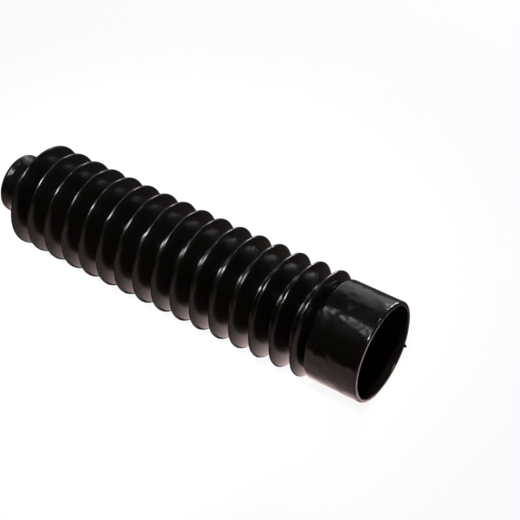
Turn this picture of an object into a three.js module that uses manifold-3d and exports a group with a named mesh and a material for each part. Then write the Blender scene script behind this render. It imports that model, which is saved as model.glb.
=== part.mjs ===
// A rubber gaiter for a telescopic motorcycle fork, moulded in one piece: a bellows of
// sixteen ribs between a small cuff, for the upper tube, and a large one, for the slider.
// Millimetres, +Z up. It lies on its side along X with the large mouth towards +X, on the
// small flat spots of its crests. The origin is on that surface, under the middle.

import * as THREE from 'three';
import { mergeVertices } from 'three/addons/utils/BufferGeometryUtils.js';
import Module from 'manifold-3d';

// Ribs
const RIB_COUNT = 16;
const RIB_PITCH = 14.5;
const CREST_RADIUS = 35;
const CREST_LAND = 1;
const ROOT_RADIUS = 23;
const ROOT_LAND = 1.1;
const FLANK_BULGE = 0.6;
const RIB_WALL = 1.8;
const FLAT_SPOT_WIDTH = 12;

// Small cuff, with a rounded bead round its open end
const SMALL_BORE_RADIUS = 17;
const SMALL_WALL = 2.1;
const SMALL_FLANK_RUN = 8.5;
const SMALL_CUFF_LENGTH = 14.7;
const BEAD_HEIGHT = 1.2;
const BEAD_WIDTH = 4;

// Large cuff, with a narrow neck before its shoulder
const LARGE_BORE_RADIUS = 30;
const LARGE_WALL = 2.7;
const LARGE_CUFF_LENGTH = 36.8;
const SHOULDER_LEAN = 0.8;
const SHOULDER_ROUND = 1.8;
const MOUTH_ROUND = 1.5;
const NECK_RADIUS = 26;
const NECK_LAND = 1.9;

// Facets
const TURN_FACETS = 28;
const BEAD_FACETS = 4;
const EDGE_FACETS = 2;

// How far the block that trims the flat spots stands out beyond the gaiter
const TRIM_MARGIN = 20;

// Places along the axis, measured from the first crest
const flankRun = (RIB_PITCH - CREST_LAND - ROOT_LAND) / 2;
const flankRise = CREST_RADIUS - ROOT_RADIUS;
const lastCrest = (RIB_COUNT - 1) * RIB_PITCH;
const smallFoot = -CREST_LAND / 2 - SMALL_FLANK_RUN;
const smallEnd = smallFoot - SMALL_CUFF_LENGTH;
const neckRun = flankRun * (CREST_RADIUS - NECK_RADIUS) / flankRise;
const neckStart = lastCrest + CREST_LAND / 2 + neckRun;
const shoulderFoot = neckStart + NECK_LAND;
const largeEnd = shoulderFoot + LARGE_CUFF_LENGTH;

// A point of the section: its place along the axis and its distance from it
function at(along, radius) {
  return new THREE.Vector2(radius, along);
}

function arc(along, radius, size, from, to) {
  const points = [];
  for (let i = 0; i <= EDGE_FACETS; i += 1) {
    const angle = THREE.MathUtils.lerp(from, to, i / EDGE_FACETS);
    points.push(at(along + size * Math.cos(angle), radius + size * Math.sin(angle)));
  }
  return points;
}

// The point in the middle of a flank, pushed out by the bulge, square to the flank
function flankMiddle(a, b) {
  const along = (a.y + b.y) / 2;
  const radius = (a.x + b.x) / 2;
  const length = Math.hypot(b.y - a.y, b.x - a.x);
  const outAlong = -(b.x - a.x) / length;
  const outRadius = (b.y - a.y) / length;
  return at(along + FLANK_BULGE * outAlong, radius + FLANK_BULGE * outRadius);
}

function outerSmallCuff() {
  const waist = SMALL_BORE_RADIUS + SMALL_WALL;
  const points = [];
  for (let i = 0; i <= BEAD_FACETS; i += 1) {
    const share = i / BEAD_FACETS;
    const rise = BEAD_HEIGHT * Math.sin(Math.PI * share);
    points.push(at(smallEnd + BEAD_WIDTH * share, waist + rise));
  }
  points.push(at(smallFoot, waist));
  return points;
}

function outerRib(index) {
  const middle = index * RIB_PITCH;
  const rises = at(middle - CREST_LAND / 2, CREST_RADIUS);
  const falls = at(middle + CREST_LAND / 2, CREST_RADIUS);
  const before = at(rises.y - flankRun, ROOT_RADIUS);
  const after = at(falls.y + flankRun, ROOT_RADIUS);
  const points = [];
  if (index > 0) {
    points.push(before, flankMiddle(before, rises));
  }
  points.push(rises, falls, flankMiddle(falls, after));
  if (index < RIB_COUNT - 1) {
    points.push(after);
  }
  return points;
}

function outerLargeCuff() {
  const mouth = LARGE_BORE_RADIUS + LARGE_WALL;
  const faceTop = mouth - SHOULDER_ROUND;
  const faceEnd = shoulderFoot + SHOULDER_LEAN;
  const quarter = Math.PI / 2;
  return [
    at(neckStart, NECK_RADIUS),
    at(shoulderFoot, NECK_RADIUS),
    ...arc(faceEnd + SHOULDER_ROUND, faceTop, SHOULDER_ROUND, 2 * quarter, quarter),
    ...arc(largeEnd - MOUTH_ROUND, mouth - MOUTH_ROUND, MOUTH_ROUND, quarter, 0),
  ];
}

// The inner wall of the ribs runs parallel to straight flanks, one rib wall inside them
const flankLength = Math.hypot(flankRun, flankRise);
const crestPocket = CREST_RADIUS + CREST_LAND / 2 * flankRise / flankRun - RIB_WALL * flankLength / flankRun;
const rootMitre = RIB_WALL * (flankLength - flankRun) / flankRise;

function innerRib(index) {
  const middle = index * RIB_PITCH;
  const toRoot = CREST_LAND / 2 + flankRun - rootMitre;
  const points = [];
  if (index > 0) {
    points.push(at(middle - toRoot, ROOT_RADIUS - RIB_WALL));
  }
  points.push(at(middle, crestPocket));
  if (index < RIB_COUNT - 1) {
    points.push(at(middle + toRoot, ROOT_RADIUS - RIB_WALL));
  }
  return points;
}

function section() {
  const outer = outerSmallCuff();
  const inner = [
    at(smallEnd, SMALL_BORE_RADIUS),
    at(smallFoot, SMALL_BORE_RADIUS),
  ];
  for (let index = 0; index < RIB_COUNT; index += 1) {
    outer.push(...outerRib(index));
    inner.push(...innerRib(index));
  }
  const step = shoulderFoot + SHOULDER_LEAN + LARGE_WALL;
  inner.push(
    at(neckStart - rootMitre, NECK_RADIUS - RIB_WALL),
    at(shoulderFoot + LARGE_WALL, NECK_RADIUS - RIB_WALL),
    at(step, LARGE_BORE_RADIUS),
    at(largeEnd, LARGE_BORE_RADIUS),
  );
  outer.push(...outerLargeCuff());
  return [...outer, ...inner.reverse(), outer[0].clone()];
}

const wasm = await Module();
wasm.setup();

function toSolid(geometry) {
  const bare = geometry.clone();
  bare.deleteAttribute('normal');
  bare.deleteAttribute('uv');
  const merged = mergeVertices(bare);
  return new wasm.Manifold(new wasm.Mesh({
    numProp: 3,
    vertProperties: new Float32Array(merged.attributes.position.array),
    triVerts: new Uint32Array(merged.index.array),
  }));
}

function toGeometry(solid) {
  const mesh = solid.getMesh();
  const geometry = new THREE.BufferGeometry();
  geometry.setAttribute('position', new THREE.BufferAttribute(mesh.vertProperties, 3));
  geometry.setIndex(new THREE.BufferAttribute(mesh.triVerts, 1));
  geometry.computeVertexNormals();
  return geometry;
}

// The bellows is turned about its axis, and the surface that it lies on trims the crests
function gaiterGeometry() {
  const length = largeEnd - smallEnd;
  const lying = Math.sqrt(CREST_RADIUS ** 2 - (FLAT_SPOT_WIDTH / 2) ** 2);
  const turned = new THREE.LatheGeometry(section(), TURN_FACETS);
  turned.rotateZ(-Math.PI / 2);
  turned.translate(-(largeEnd + smallEnd) / 2, 0, lying);
  const width = 2 * (CREST_RADIUS + TRIM_MARGIN);
  const height = lying + CREST_RADIUS + TRIM_MARGIN;
  const above = new THREE.BoxGeometry(length + 2 * TRIM_MARGIN, width, height);
  above.translate(0, 0, height / 2);
  return toGeometry(toSolid(turned).intersect(toSolid(above)));
}

const blackRubber = new THREE.MeshStandardMaterial({
  color: 0x120f0e,
  roughness: 0.28,
  metalness: 0,
});

const gaiter = new THREE.Mesh(gaiterGeometry(), blackRubber);
gaiter.name = 'gaiter';

const part = new THREE.Group();
part.name = 'fork_gaiter';
part.add(gaiter);

export default part;
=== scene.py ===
import math

import bmesh
import bpy
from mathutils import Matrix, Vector


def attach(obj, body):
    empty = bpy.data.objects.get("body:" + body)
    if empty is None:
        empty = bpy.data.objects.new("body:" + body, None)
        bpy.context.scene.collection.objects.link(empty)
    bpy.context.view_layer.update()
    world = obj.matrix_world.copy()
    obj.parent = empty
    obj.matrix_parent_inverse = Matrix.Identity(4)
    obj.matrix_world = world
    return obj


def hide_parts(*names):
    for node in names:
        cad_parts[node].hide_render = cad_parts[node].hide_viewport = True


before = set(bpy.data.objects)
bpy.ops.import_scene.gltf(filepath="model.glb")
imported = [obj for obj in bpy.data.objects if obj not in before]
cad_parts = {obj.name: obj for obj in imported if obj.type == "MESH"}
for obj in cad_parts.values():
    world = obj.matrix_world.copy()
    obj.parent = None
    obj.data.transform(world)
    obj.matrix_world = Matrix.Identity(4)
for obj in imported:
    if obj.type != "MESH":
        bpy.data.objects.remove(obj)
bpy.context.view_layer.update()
bpy.ops.object.select_all(action="DESELECT")


# Gaiter
# One thin-walled moulding of glossy black rubber: sixteen folds between a small cuff, which
# grips the fork's upper tube, and a large one, which grips the slider. Its section is drawn
# as one closed line, the corners are rounded, and the line is spun about the tube's axis.
AXIS_HEIGHT = 0.034482
FOLDS = 16
PITCH = 0.01454
FIRST_CREST = -0.118825
CREST_RADIUS = 0.0350
CREST_LAND = 0.0010
ROOT_RADIUS = 0.023
ROOT_LAND = 0.0011
FLANK_BULGE = 0.0005
WALL = 0.0018

SMALL_END = -0.142525
SMALL_BORE = 0.017
SMALL_WAIST = 0.0191
SMALL_FOOT = FIRST_CREST - CREST_LAND / 2 - 0.0085
BEAD_HEIGHT = 0.0012
BEAD_WIDTH = 0.004
WAIST_MARGIN = 0.0008

LARGE_END = 0.142525
LARGE_BORE = 0.030
LARGE_RADIUS = 0.0327
NECK_RADIUS = 0.026
NECK_LAND = 0.0013
SHOULDER_LEAN = 0.0008
SLEEVE_MARGIN = 0.0022

FLANK_ROUND = 0.0052
LAST_FLANK_ROUND = 0.0026
CREST_ROUND = 0.00047
ROOT_ROUND = 0.0005
INNER_ROUND = 0.0011
SHOULDER_ROUND = 0.0018
MOUTH_ROUND = 0.0013
BORE_ROUND = 0.0007
BEAD_ROUND = 0.0008
FOOT_ROUND = 0.002

BOW = 0.00136
MOUTH_SAG = 0.0009
SAG_REACH = 0.03
LIP_DROP = 0.022
STEPS = 136

NIB_ANGLE = math.radians(122.5)
NIB_BASE = 0.0024
NIB_TIP = 0.0003
NIB_LENGTH = 0.0032
NIB_DEPTH = 0.0009
NIB_REACH = 0.0006


def start_line(name, along, radius):
    """Begins a line of the section with a single point."""
    place = (along, 0, AXIS_HEIGHT + radius)
    bpy.ops.mesh.primitive_circle_add(vertices=3, radius=0.001, location=place)
    line = bpy.context.object
    line.name = name
    bpy.ops.object.transform_apply(location=True)
    bpy.ops.object.mode_set(mode="EDIT")
    bpy.ops.mesh.merge(type="CENTER")
    return line


def draw_on(*stretches):
    """Draws the line on from its last point: each stretch runs along the axis and outwards."""
    for along, outwards in stretches:
        step = {"value": (along, 0, outwards)}
        bpy.ops.mesh.extrude_region_move(TRANSFORM_OT_translate=step)


def repeat_grooves(line):
    """Closes the drawing of one groove and sets the others beside it, a pitch apart."""
    bpy.ops.object.mode_set(mode="OBJECT")
    row = line.modifiers.new("Row", "ARRAY")
    row.count = FOLDS - 1
    row.use_relative_offset = False
    row.use_constant_offset = True
    row.constant_offset_displace = (PITCH, 0, 0)
    row.use_merge_vertices = True
    row.merge_threshold = 1e-5
    bpy.ops.object.modifier_apply(modifier="Row")
    line.select_set(False)


flank_run = (PITCH - CREST_LAND - ROOT_LAND) / 2
flank_rise = CREST_RADIUS - ROOT_RADIUS
flank_length = math.hypot(flank_run, flank_rise)
mid_flank = (CREST_RADIUS + ROOT_RADIUS) / 2
half_flank = (flank_run / 2, flank_rise / 2)
bulge_along = FLANK_BULGE * flank_rise / flank_length
bulge_out = FLANK_BULGE * flank_run / flank_length
falling = [
    (half_flank[0] + bulge_along, -half_flank[1] + bulge_out),
    (half_flank[0] - bulge_along, -half_flank[1] - bulge_out),
]
rising = [
    (half_flank[0] - bulge_along, half_flank[1] + bulge_out),
    (half_flank[0] + bulge_along, half_flank[1] - bulge_out),
]

outer_groove = start_line("outer groove", FIRST_CREST + CREST_LAND / 2, CREST_RADIUS)
draw_on(*falling, (ROOT_LAND, 0), *rising, (CREST_LAND, 0))
repeat_grooves(outer_groove)

pocket = CREST_RADIUS + CREST_LAND / 2 * flank_rise / flank_run - WALL * flank_length / flank_run
mitre = WALL * (flank_length - flank_run) / flank_rise
inner_root = ROOT_RADIUS - WALL
to_root = CREST_LAND / 2 + flank_run - mitre
inner_groove = start_line("inner groove", FIRST_CREST, pocket)
draw_on((to_root, inner_root - pocket), (PITCH - 2 * to_root, 0), (to_root, pocket - inner_root))
repeat_grooves(inner_groove)

small_cuff = start_line("small cuff", FIRST_CREST, pocket)
first_flank = (SMALL_FOOT - FIRST_CREST, SMALL_BORE - pocket)
draw_on(first_flank, (SMALL_END - SMALL_FOOT, 0), (0, SMALL_WAIST - SMALL_BORE))
draw_on((BEAD_WIDTH * 0.15, BEAD_HEIGHT), (BEAD_WIDTH * 0.7, 0), (BEAD_WIDTH * 0.15, -BEAD_HEIGHT))
waist = SMALL_FOOT - SMALL_END - BEAD_WIDTH
draw_on((WAIST_MARGIN, 0), (waist - 4 * WAIST_MARGIN, 0), (3 * WAIST_MARGIN, 0))
draw_on((FIRST_CREST - CREST_LAND / 2 - SMALL_FOOT, CREST_RADIUS - SMALL_WAIST), (CREST_LAND, 0))
bpy.ops.object.mode_set(mode="OBJECT")
small_cuff.select_set(False)

last_crest = FIRST_CREST + (FOLDS - 1) * PITCH
neck_run = flank_run * (CREST_RADIUS - NECK_RADIUS) / flank_rise
neck = last_crest + CREST_LAND / 2 + neck_run
shoulder = neck + NECK_LAND
large_cuff = start_line("large cuff", last_crest + CREST_LAND / 2, CREST_RADIUS)
draw_on(falling[0], (neck_run - falling[0][0], NECK_RADIUS - CREST_RADIUS - falling[0][1]))
draw_on((NECK_LAND, 0), (SHOULDER_LEAN, LARGE_RADIUS - NECK_RADIUS))
sleeve = LARGE_END - shoulder - SHOULDER_LEAN
draw_on((SLEEVE_MARGIN, 0), (sleeve - 2 * SLEEVE_MARGIN, 0), (SLEEVE_MARGIN, 0))
cuff_wall = LARGE_RADIUS - LARGE_BORE
draw_on((0, -cuff_wall))
inner_step = shoulder + SHOULDER_LEAN + cuff_wall
draw_on((-SLEEVE_MARGIN, 0), (inner_step - LARGE_END + SLEEVE_MARGIN, 0))
draw_on((shoulder + cuff_wall - inner_step, NECK_RADIUS - WALL - LARGE_BORE))
draw_on((neck - mitre - shoulder - cuff_wall, 0), (last_crest - neck + mitre, pocket - NECK_RADIUS + WALL))
bpy.ops.object.mode_set(mode="OBJECT")

gaiter = large_cuff
for line in (outer_groove, inner_groove, small_cuff, large_cuff):
    line.select_set(True)
bpy.ops.object.join()
gaiter.name = "gaiter_rubber"
bpy.ops.object.mode_set(mode="EDIT")
bpy.ops.mesh.select_all(action="SELECT")
bpy.ops.mesh.remove_doubles(threshold=1e-5)


def select_points(test):
    """Selects the points of the mesh in edit mode whose place along, across and up passes."""
    mesh = bmesh.from_edit_mesh(gaiter.data)
    bpy.ops.mesh.select_all(action="DESELECT")
    for point in mesh.verts:
        point.select = test(point.co.x, point.co.y, point.co.z)
    mesh.select_flush_mode()
    bmesh.update_edit_mesh(gaiter.data)


def near(value, target, reach=2e-5):
    return abs(value - target) < reach


def round_points(size, segments, test):
    """Rounds the section's corners whose place along the axis and radius pass."""
    select_points(lambda x, y, z: test(x, z - AXIS_HEIGHT))
    bpy.ops.mesh.bevel(offset=size, segments=segments, affect="VERTICES")


# The corners of the section, from the flanks to the small cuff's foot
last_bulge = last_crest + CREST_LAND / 2 + falling[0][0]
last_radius = CREST_RADIUS + falling[0][1]
round_points(FLANK_ROUND, 6, lambda x, r: near(r, mid_flank, 0.0010) and FIRST_CREST < x < last_crest)
round_points(LAST_FLANK_ROUND, 4, lambda x, r: near(r, last_radius) and near(x, last_bulge))
round_points(CREST_ROUND, 4, lambda x, r: near(r, CREST_RADIUS))
round_points(ROOT_ROUND, 4, lambda x, r: near(r, ROOT_RADIUS))
round_points(INNER_ROUND, 2, lambda x, r: near(r, pocket))
round_points(INNER_ROUND, 2, lambda x, r: near(r, inner_root))
round_points(ROOT_ROUND, 3, lambda x, r: near(r, NECK_RADIUS))
round_points(SHOULDER_ROUND, 6, lambda x, r: near(r, LARGE_RADIUS) and near(x, shoulder + SHOULDER_LEAN))
round_points(MOUTH_ROUND, 6, lambda x, r: near(r, LARGE_RADIUS) and near(x, LARGE_END))
round_points(BORE_ROUND, 4, lambda x, r: near(r, LARGE_BORE) and near(x, LARGE_END))
round_points(BEAD_ROUND, 5, lambda x, r: near(r, SMALL_WAIST + BEAD_HEIGHT))
round_points(ROOT_ROUND, 3, lambda x, r: near(r, SMALL_WAIST) and near(x, SMALL_END + BEAD_WIDTH))
round_points(FOOT_ROUND, 4, lambda x, r: near(r, SMALL_WAIST) and near(x, SMALL_FOOT))

bpy.ops.mesh.select_all(action="SELECT")
bpy.ops.mesh.spin(steps=STEPS, angle=2 * math.pi, center=(0, 0, AXIS_HEIGHT), axis=(1, 0, 0))
bpy.ops.mesh.select_all(action="SELECT")
bpy.ops.mesh.remove_doubles(threshold=2e-6)
bpy.ops.mesh.select_all(action="SELECT")
bpy.ops.mesh.normals_make_consistent(inside=False)

# The crests settle flat on the table, the row of folds bows a little, and the mouth's lip sags
select_points(lambda x, y, z: z < 0)
bpy.ops.transform.resize(value=(1, 1, 0), center_override=(0, 0, 0))
middle = (FIRST_CREST + last_crest) / 2
select_points(lambda x, y, z: near(x, middle, 0.0005))
bpy.ops.transform.translate(value=(0, -BOW, 0), use_proportional_edit=True,
                            proportional_edit_falloff="INVERSE_SQUARE",
                            proportional_size=middle - FIRST_CREST)
select_points(lambda x, y, z: x > LARGE_END - 0.001 and z < AXIS_HEIGHT - LIP_DROP)
bpy.ops.transform.translate(value=(MOUTH_SAG, 0, 0), use_proportional_edit=True,
                            proportional_edit_falloff="SMOOTH", proportional_size=SAG_REACH)
bpy.ops.object.mode_set(mode="OBJECT")

# A nib of flash on the mouth's rim
nib_out = Vector((0, math.sin(NIB_ANGLE), math.cos(NIB_ANGLE)))
nib_place = nib_out * (LARGE_RADIUS - NIB_DEPTH) + Vector((LARGE_END + NIB_REACH, 0, AXIS_HEIGHT))
bpy.ops.mesh.primitive_cone_add(vertices=16, radius1=NIB_BASE, radius2=NIB_TIP, depth=NIB_LENGTH,
                                location=nib_place, rotation=(0, math.pi / 2, 0))
gaiter.select_set(True)
bpy.context.view_layer.objects.active = gaiter
bpy.ops.object.join()
bpy.ops.object.shade_smooth()

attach(gaiter, "root")
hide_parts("gaiter")


class Field:
    """One output of a shader node. Arithmetic on it adds Math nodes."""

    def __init__(self, tree, socket=None):
        self.tree = tree
        self.socket = socket

    def node(self, kind, settings, sockets, output=0):
        """Adds a node with its settings, then fills its sockets with values or links."""
        made = self.tree.nodes.new(kind)
        for name, value in settings.items():
            setattr(made, name, value)
        for name, value in sockets.items():
            if isinstance(value, Field):
                self.tree.links.new(value.socket, made.inputs[name])
            else:
                made.inputs[name].default_value = value
        return Field(self.tree, made.outputs[output] if made.outputs else None)

    def math(self, operation, first, second):
        return self.node("ShaderNodeMath", {"operation": operation}, {0: first, 1: second})

    def __add__(self, other):
        return self.math("ADD", self, other)

    __radd__ = __add__

    def __sub__(self, other):
        return self.math("SUBTRACT", self, other)

    def __rsub__(self, other):
        return self.math("SUBTRACT", other, self)

    def __mul__(self, other):
        return self.math("MULTIPLY", self, other)

    __rmul__ = __mul__

    def step(self, low, high):
        """Runs smoothly from 0 at low to 1 at high."""
        sockets = {"Value": self, "From Min": low, "From Max": high}
        return self.node("ShaderNodeMapRange", {"interpolation_type": "SMOOTHSTEP"}, sockets)


def new_material(name):
    """Makes a material with no nodes yet, and the field that its nodes are added with."""
    material = bpy.data.materials.new(name)
    material.use_nodes = True
    material.node_tree.nodes.clear()
    return material, Field(material.node_tree)


rubber, shader = new_material("black rubber")
place = shader.node("ShaderNodeTexCoord", {}, {}, "Object")
along = shader.node("ShaderNodeSeparateXYZ", {}, {"Vector": place}, "X")
on_cuff = along.step(0.104, 0.108)


def noise(size, detail):
    """Noise over the rubber with features of a size in metres."""
    sockets = {"Vector": place, "Scale": 1 / size, "Detail": detail}
    return shader.node("ShaderNodeTexNoise", {"noise_dimensions": "3D"}, sockets, "Fac")


skin = noise(0.0012, 2)
swell = noise(0.014, 2)
patch = noise(0.03, 3)
height = skin * 0.000012 + swell * on_cuff * 0.0013
normal = shader.node("ShaderNodeBump", {}, {"Strength": 1, "Distance": 1, "Height": height})
tone = shader.node("ShaderNodeMix", {"data_type": "RGBA"}, {
    "Factor": patch.step(0.35, 0.65),
    "A": (0.0010, 0.0009, 0.0006, 1),
    "B": (0.0017, 0.0015, 0.0011, 1),
}, 2)
gloss = 0.20 + patch * 0.06 - on_cuff * 0.05
finish = shader.node("ShaderNodeBsdfPrincipled", {}, {
    "Base Color": tone,
    "Roughness": gloss,
    "IOR": 1.5,
    "Normal": normal,
})

# The large cuff's bore and the crests' edges take a matt near-black in place of the gloss, as painted
# shade: the bore's hollow goes dark, and a dark line runs along the far side of each crest from the bright
# lights down, and along both sides underneath.
painted_shade = shader.node("ShaderNodeBsdfDiffuse", {}, {"Color": (0.010, 0.007, 0.006, 1)})
from_axis = shader.node("ShaderNodeVectorMath", {"operation": "MULTIPLY_ADD"}, {
    0: place, 1: (0, 1, 1), 2: (0, 0, -AXIS_HEIGHT),
})
radius = shader.node("ShaderNodeVectorMath", {"operation": "LENGTH"}, {0: from_axis}, "Value")
up = shader.node("ShaderNodeSeparateXYZ", {}, {"Vector": place}, "Z")
in_bore = radius.step(LARGE_BORE + 0.0006, LARGE_BORE + 0.0003) * along.step(0.106, 0.109)
folds = (along - FIRST_CREST) * (1 / PITCH) + 0.5
beside_crest = folds.math("FRACT", folds, 0) - 0.5
at_edge = radius.step(CREST_RADIUS - 0.0008, CREST_RADIUS - 0.0005)
far_side = beside_crest.step(0.045, 0.015) * up.step(AXIS_HEIGHT + 0.018, AXIS_HEIGHT + 0.008)
underside = up.step(AXIS_HEIGHT - 0.010, AXIS_HEIGHT - 0.022)
edge = at_edge * far_side.math("MAXIMUM", far_side, underside)
# The matt near-black mixed in here is painted shade on the crests' edges and in the bore.
surface = shader.node("ShaderNodeMixShader", {}, {0: edge * 0.95 + in_bore * 0.85, 1: finish, 2: painted_shade})
shader.node("ShaderNodeOutputMaterial", {}, {"Surface": surface})
gaiter.data.materials.clear()
gaiter.data.materials.append(rubber)


# Table and backdrop
# A white sheet on a table, with a tall white screen on the far side. The camera sees both as white, with
# the gaiter's shadow. In the gloss of the rubber both show a painted glow: the sheet's is warm, brightest
# close to the gaiter and darker farther off, and the screen's is brightest near the table.
def white_card(name, glow_colour, glow, reach):
    """White card that shines to the camera. Reach says where the gloss still shows its painted glow."""
    material, card = new_material(name)
    spot = card.node("ShaderNodeTexCoord", {}, {}, "Object")
    shown = 1
    for axis, low, high, least in reach:
        side = card.node("ShaderNodeSeparateXYZ", {}, {"Vector": spot}, axis)
        shown = (side.step(low, high) * (1 - least) + least) * shown
    seen = card.node("ShaderNodeLightPath", {}, {}, "Is Camera Ray")
    mirrored = card.node("ShaderNodeLightPath", {}, {}, "Is Glossy Ray")
    through = card.node("ShaderNodeLightPath", {}, {}, "Is Transmission Ray")
    faded = card.node("ShaderNodeMix", {"data_type": "RGBA"}, {
        "Factor": shown, "A": (0, 0, 0, 1), "B": glow_colour,
    }, 2)
    matt = card.node("ShaderNodeBsdfDiffuse", {}, {"Color": (0.85, 0.85, 0.85, 1)})
    # Painted light: in glossy rays the card glows as an emitter in its glow colour, faded by reach.
    in_gloss = card.node("ShaderNodeEmission", {}, {"Color": faded, "Strength": glow})
    white = card.node("ShaderNodeEmission", {}, {"Color": (1, 1, 1, 1), "Strength": 1.02})
    unseen = card.node("ShaderNodeMixShader", {}, {0: mirrored, 1: matt, 2: in_gloss})
    both = card.node("ShaderNodeMixShader", {}, {0: (seen + through) * 0.9, 1: unseen, 2: white})
    card.node("ShaderNodeOutputMaterial", {}, {"Surface": both})
    return material


bpy.ops.mesh.primitive_plane_add(size=8, location=(0, 0, 0))
table = bpy.context.object
table.name = "table"
# Where the sheet's painted glow shows in the gloss: full beside and under the gaiter, about a third of
# that farther out in front, and dim far in front, behind it and beyond its ends.
sheet_reach = (
    ("Y", -0.25, -0.20, 0.05), ("Y", -0.04, -0.015, 0.30), ("Y", 0.07, 0.03, 0.05),
    ("X", 0.6, 0.4, 0.05), ("X", -0.20, -0.14, 0.15),
)
table.data.materials.append(white_card("white sheet", (1, 0.773, 0.744, 1), 1.72, sheet_reach))

bpy.ops.mesh.primitive_plane_add(size=1, location=(0, 1.3, 1), rotation=(math.pi / 2, 0, 0))
screen = bpy.context.object
# The screen's painted glow in the gloss: brightest near the table, fading upwards and far out past the
# large cuff's end.
screen_reach = (("Z", 2.0, 0.3, 0.05), ("X", 0.7, 0.2, 0.1))
screen.name = "screen"
bpy.ops.transform.resize(value=(4, 1, 2))
bpy.ops.object.transform_apply(location=True, rotation=True, scale=True)
screen.data.materials.append(white_card("white screen", (1, 1, 0.976, 1), 0.85, screen_reach))


# Light
# A softbox with a grid hangs above the folds and gives them their narrow bright lights. A weak
# one lights the large cuff and one the top of its rim, two more on the far side light the tops
# of the flanks, and the dim room fills the rest.
def softbox(name, direction, distance, across, watts, target=(0, 0, 0), spread=180):
    """A round lamp that looks from a direction at a target. A grid narrows its spread, in degrees."""
    towards = Vector(direction).normalized()
    bpy.ops.object.light_add(type="AREA", location=Vector(target) + towards * distance)
    lamp = bpy.context.object
    lamp.name = name
    lamp.rotation_euler = towards.to_track_quat("Z", "Y").to_euler()
    lamp.data.shape = "DISK"
    lamp.data.size = across
    lamp.data.energy = watts
    lamp.data.spread = math.radians(spread)


FOLDS_MIDDLE = (-0.045, 0, 0)
CUFF_TOP = (0.125, 0, 0.06)
RIM_TOP = (0.14, 0, 0.06)
softbox("key", (0.11, -0.37, 0.92), 1.2, 0.34, 0.62, FOLDS_MIDDLE, spread=13.4)
softbox("cuff light", (-0.34, -0.17, 0.92), 1.3, 0.22, 0.45, CUFF_TOP)
softbox("rim light", (0.03, 0.98, 0.20), 1.2, 0.2, 0.05, RIM_TOP, spread=10)
softbox("back light", (0.04, 0.32, 0.94), 1.6, 0.2, 3.5)
softbox("low light", (0.04, 0.86, 0.50), 1.2, 0.3, 6)

world = bpy.data.worlds.new("room")
bpy.context.scene.world = world
world.use_nodes = True
world.node_tree.nodes.clear()
room = Field(world.node_tree)
seen = room.node("ShaderNodeLightPath", {}, {}, "Is Camera Ray")
dim = room.node("ShaderNodeBackground", {}, {"Color": (1, 0.93, 0.86, 1), "Strength": 0.03})
white = room.node("ShaderNodeBackground", {}, {"Color": (1, 1, 1, 1), "Strength": 1})
both = room.node("ShaderNodeMixShader", {}, {0: seen, 1: dim, 2: white})
room.node("ShaderNodeOutputWorld", {}, {"Surface": both})


# Camera
# It stands where the photograph was taken from, above and beside the large cuff.
eye = Vector((0.38195, -0.48558, 0.60185))
target = Vector((0.03660, 0.02640, 0.034482))
bpy.ops.object.camera_add(location=eye)
camera = bpy.context.object
camera.rotation_euler = (eye - target).to_track_quat("Z", "Y").to_euler()
camera.data.lens = 91.1
camera.data.sensor_width = 36
camera.data.clip_start = 0.01
bpy.context.scene.camera = camera
bpy.context.scene.view_settings.view_transform = "Standard"
